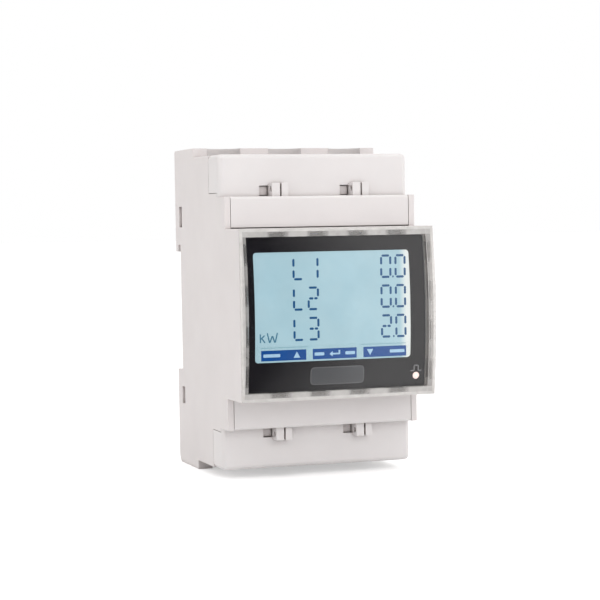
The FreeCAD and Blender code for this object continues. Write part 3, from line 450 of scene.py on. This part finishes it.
SHADES = {
    "housing": moulded_plastic("housing", (0.76, 0.718, 0.712)),
    "cover": moulded_plastic("cover", (0.775, 0.745, 0.742)),
    "clip": moulded_plastic("clip", (0.70, 0.675, 0.665), 0.12, 0.4),
    "clear": clear_plastic(),
    "label": label_film(),
    "display": lit_display(),
    "frost": glazed("frost", (0.78, 0.82, 0.84), 0.35),
    "inner_plastic": moulded_plastic("inner_plastic", (0.035, 0.035, 0.038), 0.2, 0.45),
    "strip": glazed("strip", (0.62, 0.56, 0.52), 0.6),
    "foil": clear_foil(),
    "lamp": glazed("lamp", (0.92, 0.73, 0.70), 0.3, 1500, 0.72),
    "laminate": laminate(),
    "chip": glazed("chip", (0.022, 0.022, 0.025), 0.5, 1800),
    "film_box": glazed("film_box", (0.62, 0.46, 0.10), 0.4),
    "can": metal("can", (0.72, 0.73, 0.75), 0.3, (1, 6, 1)),
    "disc": glazed("disc", (0.03, 0.12, 0.42), 0.25),
    "winding": glazed("winding", (0.60, 0.44, 0.12), 0.45, 900),
    "coil": glazed("coil", (0.03, 0.033, 0.04), 0.4, 700),
    "copper": metal("copper", (0.86, 0.48, 0.32), 0.34, (4, 4, 0.4)),
    "zinc": metal("zinc", (0.74, 0.75, 0.76), 0.34, (1, 8, 1)),
    "pin": metal("pin", (0.88, 0.70, 0.36), 0.25, (4, 0.5, 4)),
    "block": moulded_plastic("block", (0.03, 0.20, 0.09), 0.2, 0.42),
}
INKS = {
    "segment": ink("segment", (0.0, 0.09, 0.26), 1.0),
    "unit": ink("unit", (0.06, 0.22, 0.34), 1.0),
    "hairline": ink("hairline", (0.245, 0.46, 0.56), 0.95),
    "key_bar": ink("key_bar", (0.0, 0.08, 0.34), 1.0),
    "key_sign": ink("key_sign", (0.46, 0.72, 0.95), 1.0),
    "grey_print": ink("grey_print", (0.30, 0.30, 0.32)),
    "plate_line": ink("plate_line", (0.16, 0.165, 0.18)),
    "plate_print": ink("plate_print", (0.085, 0.092, 0.105)),
}


# Edge rounding of the moulded and machined pieces

def smooth_group():
    """A modifier group that shades every face smooth, so that rounded edges catch the light."""
    group = bpy.data.node_groups.new("smooth_faces", "GeometryNodeTree")
    group.interface.new_socket("Geometry", in_out="INPUT", socket_type="NodeSocketGeometry")
    group.interface.new_socket("Geometry", in_out="OUTPUT", socket_type="NodeSocketGeometry")
    start = group.nodes.new("NodeGroupInput")
    smooth = group.nodes.new("GeometryNodeSetShadeSmooth")
    end = group.nodes.new("NodeGroupOutput")
    group.links.new(start.outputs[0], smooth.inputs["Geometry"])
    group.links.new(smooth.outputs["Geometry"], end.inputs[0])
    return group


SMOOTH = smooth_group()


SAME_POINT = 0.002 * MM
SAME_FACE = math.radians(0.4)
SHARP_ANGLE = math.radians(32)


def round_edges(piece, width, segments=3, weld=True):
    """Small radius on every sharp edge, with flat faces kept flat by weighted normals."""
    if weld:
        join = piece.modifiers.new("join", "WELD")
        join.merge_threshold = SAME_POINT
        flat = piece.modifiers.new("flat", "DECIMATE")
        flat.decimate_type = "DISSOLVE"
        flat.angle_limit = SAME_FACE
    edge = piece.modifiers.new("edge", "BEVEL")
    edge.width = width
    edge.segments = segments
    edge.limit_method = "ANGLE"
    edge.angle_limit = SHARP_ANGLE
    edge.use_clamp_overlap = True
    edge.miter_outer = "MITER_ARC"
    shade = piece.modifiers.new("shade", "NODES")
    shade.node_group = SMOOTH
    weigh = piece.modifiers.new("weigh", "WEIGHTED_NORMAL")
    weigh.weight = 100
    weigh.keep_sharp = False


EDGE_RADIUS = {"housing": 0.3 * MM, "cover": 0.3 * MM, "clip": 0.25 * MM,
               "inner_plastic": 0.15 * MM, "zinc": 0.12 * MM, "copper": 0.15 * MM,
               "block": 0.15 * MM}


def finish_cad_nodes():
    """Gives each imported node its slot's material and a small edge radius."""
    slots = {part["node"]: part["material_slot"] for part in frame["record"]["subparts"]}
    for node, slot in slots.items():
        piece = frame["nodes"][node]
        piece.data.materials.clear()
        piece.data.materials.append(SHADES[slot])
        if slot in EDGE_RADIUS:
            round_edges(piece, EDGE_RADIUS[slot])


# Pieces made here

def place_mesh(name, mesh, material):
    """Makes a mesh, given in the row's frame, a piece that rides on the meter's body."""
    mesh.name = name
    mesh.materials.clear()
    mesh.materials.append(material)
    piece = bpy.data.objects.new(name, mesh)
    bpy.context.scene.collection.objects.link(piece)
    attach(piece, ROOT)
    return piece


def new_piece(name, verts, faces, material):
    """A piece made from points and faces."""
    mesh = bpy.data.meshes.new(name)
    mesh.from_pydata(verts, [], faces)
    mesh.validate()
    return place_mesh(name, mesh, material)


PANE_ROWS = 48
PANE_LAP = 0.05 * MM
LABEL_GAP = 0.1 * MM
RIM_GAP = 0.02 * MM
PANE_EDGE = 0.3 * MM


def window_pane():
    """The clear tray: a curved face that laps the rim, and a skirt that drops inside it."""
    face_x, face_z = housing_high.x - PANE_LAP, NOSE_HALF - PANE_LAP
    inner_x, inner_z = label_high.x + LABEL_GAP, label_high.z + LABEL_GAP
    back = RIM + SKIRT_DEPTH
    front_of_rim = RIM - RIM_GAP
    # Sections from the outer face round to the inner one: half width, half height, depth or inset.
    sections = ((face_x, face_z, None, 0.0),
                (face_x, face_z, front_of_rim, 0.0),
                (window_high.x, window_high.z, front_of_rim, 0.0),
                (window_high.x, window_high.z, back, 0.0),
                (inner_x, inner_z, back, 0.0),
                (inner_x, inner_z, None, GLASS_WALL))
    verts = []
    rings = []
    for half_x, half_z, depth, inset in sections:
        ring = []
        heights = [half_z * (2 * row / PANE_ROWS - 1) for row in range(PANE_ROWS + 1)]
        for way, order in ((-1, heights), (1, heights[::-1])):
            for z in order:
                ring.append(len(verts))
                verts.append((way * half_x, dome_y(z, inset) if depth is None else depth, z))
        rings.append(ring)
    faces = []
    for first, second in zip(rings, rings[1:]):
        for here in range(len(first)):
            after = (here + 1) % len(first)
            faces.append((first[here], first[after], second[after], second[here]))
    for ring, turn in ((rings[0], -1), (rings[-1], 1)):
        for row in range(PANE_ROWS):
            mirror = len(ring) - 1 - row
            faces.append((ring[row], ring[row + 1], ring[mirror - 1], ring[mirror])[::turn])
    piece = new_piece("window_pane", verts, faces, SHADES["clear"])
    tidy_normals(piece.data)
    round_edges(piece, PANE_EDGE, 4, weld=False)
    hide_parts("window")


def tidy_normals(mesh):
    """Turns every face of a closed mesh outwards."""
    work = bmesh.new()
    work.from_mesh(mesh)
    bmesh.ops.recalc_face_normals(work, faces=work.faces)
    work.to_mesh(mesh)
    work.free()


def outline_points(low, high, radius, steps=6):
    """A rectangle with rounded corners, as points round its edge."""
    points = []
    centres = ((high[0] - radius, high[1] - radius, 0), (low[0] + radius, high[1] - radius, 90),
               (low[0] + radius, low[1] + radius, 180), (high[0] - radius, low[1] + radius, 270))
    for across, up, start in centres:
        for step in range(steps + 1):
            angle = math.radians(start + 90 * step / steps)
            points.append((across + radius * math.cos(angle), up + radius * math.sin(angle)))
    return points


def circle_points(across, up, radius, steps=32):
    """A circle as points round its edge."""
    return [(across + radius * math.cos(2 * math.pi * step / steps),
             up + radius * math.sin(2 * math.pi * step / steps)) for step in range(steps)]


def sheet_mesh(loops, thick):
    """Flat sheets bounded by closed loops, an inner loop being a hole, as points and faces."""
    curve = bpy.data.curves.new("outline", "CURVE")
    curve.dimensions = "2D"
    curve.fill_mode = "BOTH"
    curve.extrude = thick / 2
    for loop in loops:
        spline = curve.splines.new("POLY")
        spline.points.add(len(loop) - 1)
        for point, (across, up) in zip(spline.points, loop):
            point.co = (across, up, 0, 1)
        spline.use_cyclic_u = True
    holder = bpy.data.objects.new("outline", curve)
    mesh = bpy.data.meshes.new_from_object(holder)
    bpy.data.objects.remove(holder)
    bpy.data.curves.remove(curve)
    return mesh


CUT_WITHIN = 0.0005 * MM


def cut_rows(mesh, spacing):
    """Slices a flat sheet into rows, so that it can follow a curve."""
    work = bmesh.new()
    work.from_mesh(mesh)
    bmesh.ops.remove_doubles(work, verts=work.verts, dist=CUT_WITHIN)
    low = min(vert.co.y for vert in work.verts)
    high = max(vert.co.y for vert in work.verts)
    height = math.ceil(low / spacing) * spacing
    while height < high:
        bmesh.ops.bisect_plane(work, geom=work.verts[:] + work.edges[:] + work.faces[:],
                               dist=CUT_WITHIN, plane_co=(0, height, 0), plane_no=(0, 1, 0))
        height += spacing
    work.to_mesh(mesh)
    work.free()


def sheet_piece(name, loops, thick, depth_at, material, rows=None):
    """A thin sheet whose middle surface follows depth_at(z), facing -Y."""
    mesh = sheet_mesh(loops, thick)
    if rows:
        cut_rows(mesh, rows)
    for vert in mesh.vertices:
        across, up, out = vert.co
        vert.co = (across, depth_at(up) - out, up)
    return place_mesh(name, mesh, material)


# What shows through the window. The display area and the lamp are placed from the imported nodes.
VIEW_LOW = (lcd_low.x + 0.8 * MM, lcd_low.z + 0.7 * MM)
VIEW_HIGH = (lcd_high.x - 0.1 * MM, lcd_high.z - 2.55 * MM)
GLASS_MORE = 0.6 * MM
GROUND_EDGE = 0.12 * MM
LAMP = ((lamp_low.x + lamp_high.x) / 2 + 0.4 * MM, (lamp_low.z + lamp_high.z) / 2)
LAMP_RADIUS = 0.95 * MM
LABEL_THICK = 0.5 * MM
LABEL_INSET = GLASS_WALL + 0.05 * MM
PRINT_THICK = 0.02 * MM
CURVE_ROWS = 1.0 * MM
LABEL_SHORT = 0.3 * MM
LABEL_CORNER = 0.5 * MM
VIEW_CORNER = 0.9 * MM

# The pulse sign's path from the lamp's centre, in millimetres.
PULSE_PATH = ((-1.7, 1.3), (-0.6, 1.3), (-0.6, 2.7), (0.6, 2.7), (0.6, 1.3), (1.6, 1.3))
PULSE_WIDTH = 0.32 * MM
PLATE_LOW = (-7.6 * MM, -18.5 * MM)
PLATE_HIGH = (6.9 * MM, -14.3 * MM)
PLATE_CORNER = 0.9 * MM
PLATE_LINE = 0.25 * MM
PLATE_LINE_CORNER = 1.1 * MM

# The lamp's lens: how far its foot reaches, how much it rises, and where its front and back lie.
LENS_RINGS = 6
LENS_STEPS = 32
LENS_REACH = 1.02 * LAMP_RADIUS
LENS_RISE = 0.16 * MM
LENS_FRONT = LABEL_INSET + 0.1 * MM
LENS_BACK = LABEL_INSET + 0.4 * MM


def label_sheet():
    """The black film behind the window with its rounded display opening and lamp hole."""
    edge = outline_points((label_low.x, label_low.z), (label_high.x - LABEL_SHORT, label_high.z),
                          LABEL_CORNER)
    view = outline_points(VIEW_LOW, VIEW_HIGH, VIEW_CORNER)
    hole = circle_points(*LAMP, LAMP_RADIUS)
    middle = LABEL_INSET + LABEL_THICK / 2
    piece = sheet_piece("label_film", [edge, view, hole], LABEL_THICK,
                        lambda z: dome_y(z, middle), SHADES["label"], CURVE_ROWS)
    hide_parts("label_panel")


def on_label(z):
    """Middle of a print that lies on the label's curved face."""
    return dome_y(z, LABEL_INSET) - 0.4 * PRINT_THICK


def stroke(start, end, width):
    """A straight bar between two points as a closed loop with clipped ends."""
    along = Vector(end) - Vector(start)
    along.normalize()
    side = Vector((-along.y, along.x)) * width / 2
    tip = along * width * 0.35
    first, last = Vector(start), Vector(end)
    return [tuple(point) for point in (
        first + side + tip, last + side - tip, last, last - side - tip, first - side + tip, first)]


def label_prints():
    """The pulse sign over the lamp and a blank plate below the display, printed on the film."""
    path = [(LAMP[0] + across * MM, LAMP[1] + up * MM) for across, up in PULSE_PATH]
    for number, (first, last) in enumerate(zip(path, path[1:]), 1):
        sheet_piece(f"pulse_sign_{number}", [stroke(first, last, PULSE_WIDTH)], PRINT_THICK,
                    on_label, INKS["grey_print"])
    plate = outline_points(PLATE_LOW, PLATE_HIGH, PLATE_CORNER)
    around = outline_points(tuple(part - PLATE_LINE for part in PLATE_LOW),
                            tuple(part + PLATE_LINE for part in PLATE_HIGH), PLATE_LINE_CORNER)
    for name, loops, shade in (("blank_plate", [plate], "plate_print"),
                               ("blank_plate_line", [around, plate], "plate_line")):
        sheet_piece(name, loops, PRINT_THICK, on_label, INKS[shade], CURVE_ROWS)


def lamp_lens():
    """The clear dot of the film in front of the pulse lamp: a shallow lens of rings."""
    rings, steps = LENS_RINGS, LENS_STEPS
    verts = []
    for ring in range(rings + 1):
        slope = math.pi / 2 * ring / (rings + 1)
        for across, up in circle_points(*LAMP, LENS_REACH * math.cos(slope), steps):
            verts.append((across, dome_y(up, LENS_FRONT) - LENS_RISE * math.sin(slope), up))
    for across, up in circle_points(*LAMP, LENS_REACH, steps):
        verts.append((across, dome_y(up, LENS_BACK), up))
    # The last ring of points is the foot at the back, so the bands start there.
    order = [rings + 1] + list(range(rings + 1))
    faces = []
    for first, second in zip(order, order[1:]):
        for step in range(steps):
            after = (step + 1) % steps
            faces.append((first * steps + step, first * steps + after, second * steps + after,
                          second * steps + step))
    faces.append(tuple(rings * steps + step for step in range(steps)))
    faces.append(tuple((rings + 1) * steps + step for step in range(steps))[::-1])
    piece = new_piece("lamp_lens", verts, faces, SHADES["lamp"])
    tidy_normals(piece.data)
    for face in piece.data.polygons:
        face.use_smooth = True


def lcd_panel():
    """The liquid crystal glass, its edges ground, lit from behind."""
    low, high = lcd_low, lcd_high + Vector((GLASS_MORE, 0, 0))
    verts = [(x, y, z) for x in (low.x, high.x) for y in (low.y, high.y) for z in (low.z, high.z)]
    faces = [(0, 1, 3, 2), (4, 6, 7, 5), (0, 4, 5, 1), (2, 3, 7, 6), (0, 2, 6, 4), (1, 5, 7, 3)]
    piece = new_piece("lcd_panel", verts, faces, SHADES["display"])
    round_edges(piece, GROUND_EDGE, 2, weld=False)
    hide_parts("lcd_glass")


# Segments of one character cell, from its lower left corner: the middle bar is in two halves.
CELL = (2.6, 5.65)
HALF_GAP = 0.45


def cell_strokes(lit, left, base):
    """The lit bars of one character, as start and end points."""
    wide, tall = CELL
    middle = tall / 2
    bars = {
        "top": ((0.1, tall), (wide - 0.25, tall)),
        "bottom": ((0.1, 0), (wide - 0.25, 0)),
        "upper_left": ((0, middle + HALF_GAP), (0, tall - 0.3)),
        "lower_left": ((0, 0.3), (0, middle - HALF_GAP)),
        "upper_right": ((wide, middle + HALF_GAP), (wide, tall - 0.2)),
        "lower_right": ((wide, 0.2), (wide, middle - HALF_GAP)),
        "middle_left": ((0.1, middle), (wide / 2 + 0.05, middle)),
        "middle_right": ((wide / 2 + 0.2, middle), (wide - 0.05, middle)),
    }
    strokes = []
    for name in lit:
        start, end = bars[name]
        strokes.append(((left + start[0], base + start[1]), (left + end[0], base + end[1])))
    return strokes


CHARACTERS = {
    "L": ("upper_left", "lower_left", "bottom"),
    "0": ("top", "bottom", "upper_left", "lower_left", "upper_right", "lower_right"),
    "1": ("upper_right", "lower_right"),
    "2": ("top", "upper_right", "middle_left", "middle_right", "lower_left", "bottom"),
    "3": ("top", "upper_right", "middle_left", "middle_right", "lower_right", "bottom"),
}
COLUMNS = (-11.7, -7.65, 12.85, 16.95)
ROW_BASES = (9.1, 1.15, -6.8)
ROWS = (("L", "1", "0", "0"), ("L", "2", "0", "0"), ("L", "3", "2", "0"))
SEGMENT_WIDTH = 0.6
DECIMAL_POINT = ((15.95, -0.2), (16.4, 0.3))
UNIT_WIDTH = 0.34
UNIT_BARS = {
    "unit_k": (((-21.1, -7.3), (-21.1, -4.9)), ((-21.0, -6.3), (-19.9, -5.3)),
               ((-20.7, -6.1), (-19.8, -7.3))),
    "unit_w": (((-19.2, -4.7), (-18.6, -7.3)), ((-18.5, -7.3), (-17.85, -5.5)),
               ((-17.75, -5.5), (-17.15, -7.3)), ((-17.05, -7.3), (-16.4, -4.7))),
}

# The key bars, their pale signs and the hairlines above them, also in millimetres.
KEY_LOW = -12.05
KEY_HIGH = -9.3
KEY_MIDDLE = (KEY_LOW + KEY_HIGH) / 2
KEY_CORNER = 0.12
KEYS = ((-21.0, -8.6), (-6.8, 5.5), (7.4, 19.6))
DASHES = ((KEYS[0][0] + 0.6, 4.6), (KEYS[1][0] + 0.5, 2.7), (KEYS[1][1] - 3.2, 2.7),
          (KEYS[2][1] - 4.7, 4.2))
DASH_HALF = 0.42
DASH_CORNER = 0.2
# Where each sign's middle is, and its outline round that.
SIGNS = {
    "key_up": (KEYS[0][1] - 2.6, ((-0.9, -0.75), (0.9, -0.75), (0, 0.85))),
    "key_down": (KEYS[2][0] + 1.9, ((-0.9, 0.75), (0, -0.85), (0.9, 0.75))),
    "key_enter": ((KEYS[1][0] + KEYS[1][1]) / 2,
                  ((-1.5, -0.1), (-0.6, -0.8), (-0.6, -0.3), (1.5, -0.3), (1.5, 0.85),
                   (1.05, 0.85), (1.05, 0.12), (-0.6, 0.12), (-0.6, 0.6))),
}
HAIRLINES = ((KEYS[0][0], KEYS[0][1] + 0.7), (KEYS[2][0] - 0.7, KEYS[2][1]))
HAIRLINE_UP = KEY_HIGH + 0.65
HAIRLINE_WIDTH = 0.14


def on_lcd(z):
    """Middle of a segment that lies on the front of the liquid crystal glass."""
    return lcd_low.y - PRINT_THICK


def on_foil(z):
    """Middle of a print that lies on the front of the clear key foil."""
    return foil_low.y - PRINT_THICK


def lcd_print(name, strokes, width, material):
    """Straight bars on the display, given in millimetres."""
    loops = [stroke(Vector(start) * MM, Vector(end) * MM, width * MM) for start, end in strokes]
    return sheet_piece(name, loops, PRINT_THICK, on_lcd, material)


def lcd_figures():
    """Three rows of a line's name and its reading."""
    for row, (base, letters) in enumerate(zip(ROW_BASES, ROWS), 1):
        for column, (left, letter) in enumerate(zip(COLUMNS, letters), 1):
            lcd_print(f"figure_{row}_{column}", cell_strokes(CHARACTERS[letter], left, base),
                      SEGMENT_WIDTH, INKS["segment"])
        low, high = ((across * MM, (base + up) * MM) for across, up in DECIMAL_POINT)
        point = outline_points(low, high, 0.1 * MM, 2)
        sheet_piece(f"decimal_point_{row}", [point], PRINT_THICK, on_lcd, INKS["segment"])


def lcd_unit():
    """The unit beside the last row, in thin strokes."""
    for name, bars in UNIT_BARS.items():
        for number, bar in enumerate(bars, 1):
            lcd_print(f"{name}_{number}", [bar], UNIT_WIDTH, INKS["unit"])


def key_sign(name, loop):
    """A pale sign on a key bar, given in millimetres."""
    points = [(across * MM, up * MM) for across, up in loop]
    sheet_piece(name, [points], PRINT_THICK, lambda z: on_foil(z) - PRINT_THICK,
                INKS["key_sign"])


def lcd_keys():
    """The three key bars along the lower edge of the display, with their signs and hairlines."""
    for number, (left, right) in enumerate(KEYS, 1):
        bar = outline_points((left * MM, KEY_LOW * MM), (right * MM, KEY_HIGH * MM),
                             KEY_CORNER * MM, 3)
        sheet_piece(f"key_bar_{number}", [bar], PRINT_THICK, on_foil, INKS["key_bar"])
    for number, (left, length) in enumerate(DASHES, 1):
        low, high = (left, KEY_MIDDLE - DASH_HALF), (left + length, KEY_MIDDLE + DASH_HALF)
        key_sign(f"key_dash_{number}", outline_points(low, high, DASH_CORNER, 4))
    for name, (middle, outline) in SIGNS.items():
        key_sign(name, [(middle + across, KEY_MIDDLE + up) for across, up in outline])
    for number, (left, right) in enumerate(HAIRLINES, 1):
        lcd_print(f"key_line_{number}", [((left, HAIRLINE_UP), (right, HAIRLINE_UP))],
                  HAIRLINE_WIDTH, INKS["hairline"])


# Stage, light and camera

FLOOR_HALF = 6.0
FLOOR_GLOW = 0.42
AIR = 0.79
AIR_BRIGHT = (1.25, 1.24, 1.23, 1)
AIR_DARK = (0.012, 0.012, 0.016, 1)
# Azimuths from straight in front, between which the surround fades from bright to dark.
DARK_LEFT = (math.radians(-40), math.radians(-25))
DARK_RIGHT = (math.radians(18.3), math.radians(22))
VIEW_YAW = math.radians(18.72)
VIEW_PITCH = math.radians(-2.53)
VIEW_ROLL = -0.0164
VIEW_DISTANCE = 0.5057
VIEW_TARGET = Vector((0.5, -25.1, 2.2)) * MM
LENS = 108.46
SENSOR = 36.0


def studio_floor():
    """A wide pale floor that the meter stands on, which glows only to the camera."""
    size = FLOOR_HALF
    level = housing_low.z
    mesh = bpy.data.meshes.new("floor")
    mesh.from_pydata([(-size, -size, level), (size, -size, level), (size, size, level),
                      (-size, size, level)], [], [(0, 1, 2, 3)])
    floor = bpy.data.objects.new("floor", mesh)
    bpy.context.scene.collection.objects.link(floor)
    material, tree, shader = new_material("floor")
    shader.inputs["Base Color"].default_value = (0.88, 0.88, 0.88, 1)
    shader.inputs["Emission Color"].default_value = (1, 1, 1, 1)
    seen = tree.nodes.new("ShaderNodeLightPath")
    tree.links.new(maths(tree, "MULTIPLY", seen.outputs["Is Camera Ray"], FLOOR_GLOW),
                   shader.inputs["Emission Strength"])
    shader.inputs["Roughness"].default_value = 0.8
    shader.inputs["Specular IOR Level"].default_value = 0.0
    mesh.materials.append(material)
    floor.visible_glossy = False


def soft_light(name, place, target, size, power):
    """A square soft box that looks at a point and isn't mirrored in glossy faces."""
    data = bpy.data.lights.new(name, "AREA")
    data.size = size
    data.energy = power
    light = bpy.data.objects.new(name, data)
    light.location = place
    light.rotation_euler = (Vector(target) - Vector(place)).to_track_quat("-Z", "Y").to_euler()
    light.visible_glossy = False
    bpy.context.scene.collection.objects.link(light)


def studio_air():
    """A surround with a darker sector in front, which the window mirrors.

    The camera sees plain white in its place, so the backdrop is brighter than the light it gives.
    """
    world = bpy.data.worlds.new("studio")
    world.use_nodes = True
    bpy.context.scene.world = world
    tree = world.node_tree
    place = add_node(tree, "ShaderNodeSeparateXYZ")
    way = tree.nodes.new("ShaderNodeTexCoord").outputs["Generated"]
    tree.links.new(way, place.inputs["Vector"])
    ahead = maths(tree, "MULTIPLY", place.outputs["Y"], -1)
    angle = maths(tree, "ARCTAN2", place.outputs["X"], ahead)
    bright = maths(tree, "MAXIMUM", ramp(tree, angle, *DARK_RIGHT, 0, 1),
                   ramp(tree, angle, *DARK_LEFT, 1, 0))
    back = tree.nodes["Background"]
    tree.links.new(blend_colours(tree, bright, AIR_DARK, AIR_BRIGHT), back.inputs["Color"])
    back.inputs["Strength"].default_value = AIR
    white = add_node(tree, "ShaderNodeBackground", Strength=1.0)
    white.inputs["Color"].default_value = (1, 1, 1, 1)
    seen = tree.nodes.new("ShaderNodeLightPath")
    show(tree, blend_shaders(tree, seen.outputs["Is Camera Ray"], back.outputs["Background"],
                             white.outputs["Background"]), "World Output")


def studio_camera():
    """The camera, a little to the left of the meter and just above its middle."""
    data = bpy.data.cameras.new("camera")
    data.lens = LENS
    data.sensor_width = SENSOR
    camera = bpy.data.objects.new("camera", data)
    forward = Vector((math.sin(VIEW_YAW) * math.cos(VIEW_PITCH),
                      math.cos(VIEW_YAW) * math.cos(VIEW_PITCH), math.sin(VIEW_PITCH)))
    camera.rotation_mode = "QUATERNION"
    camera.location = VIEW_TARGET - forward * VIEW_DISTANCE
    camera.rotation_quaternion = (forward.to_track_quat("-Z", "Y")
                                  @ Matrix.Rotation(VIEW_ROLL, 4, "Z").to_quaternion())
    bpy.context.scene.collection.objects.link(camera)
    bpy.context.scene.camera = camera


finish_cad_nodes()
window_pane()
label_sheet()
label_prints()
lamp_lens()
lcd_panel()
lcd_figures()
lcd_unit()
lcd_keys()

studio_floor()
studio_air()
centre = (cad_box[0] + cad_box[1]) / 2
soft_light("overhead", centre + Vector((0.0, -0.2, 0.9)), centre, 0.9, 1.5)
soft_light("front", centre + Vector((0.1, -0.9, 0.42)), centre, 0.6, 3.6)
studio_camera()
bpy.context.scene.view_settings.view_transform = "Standard"
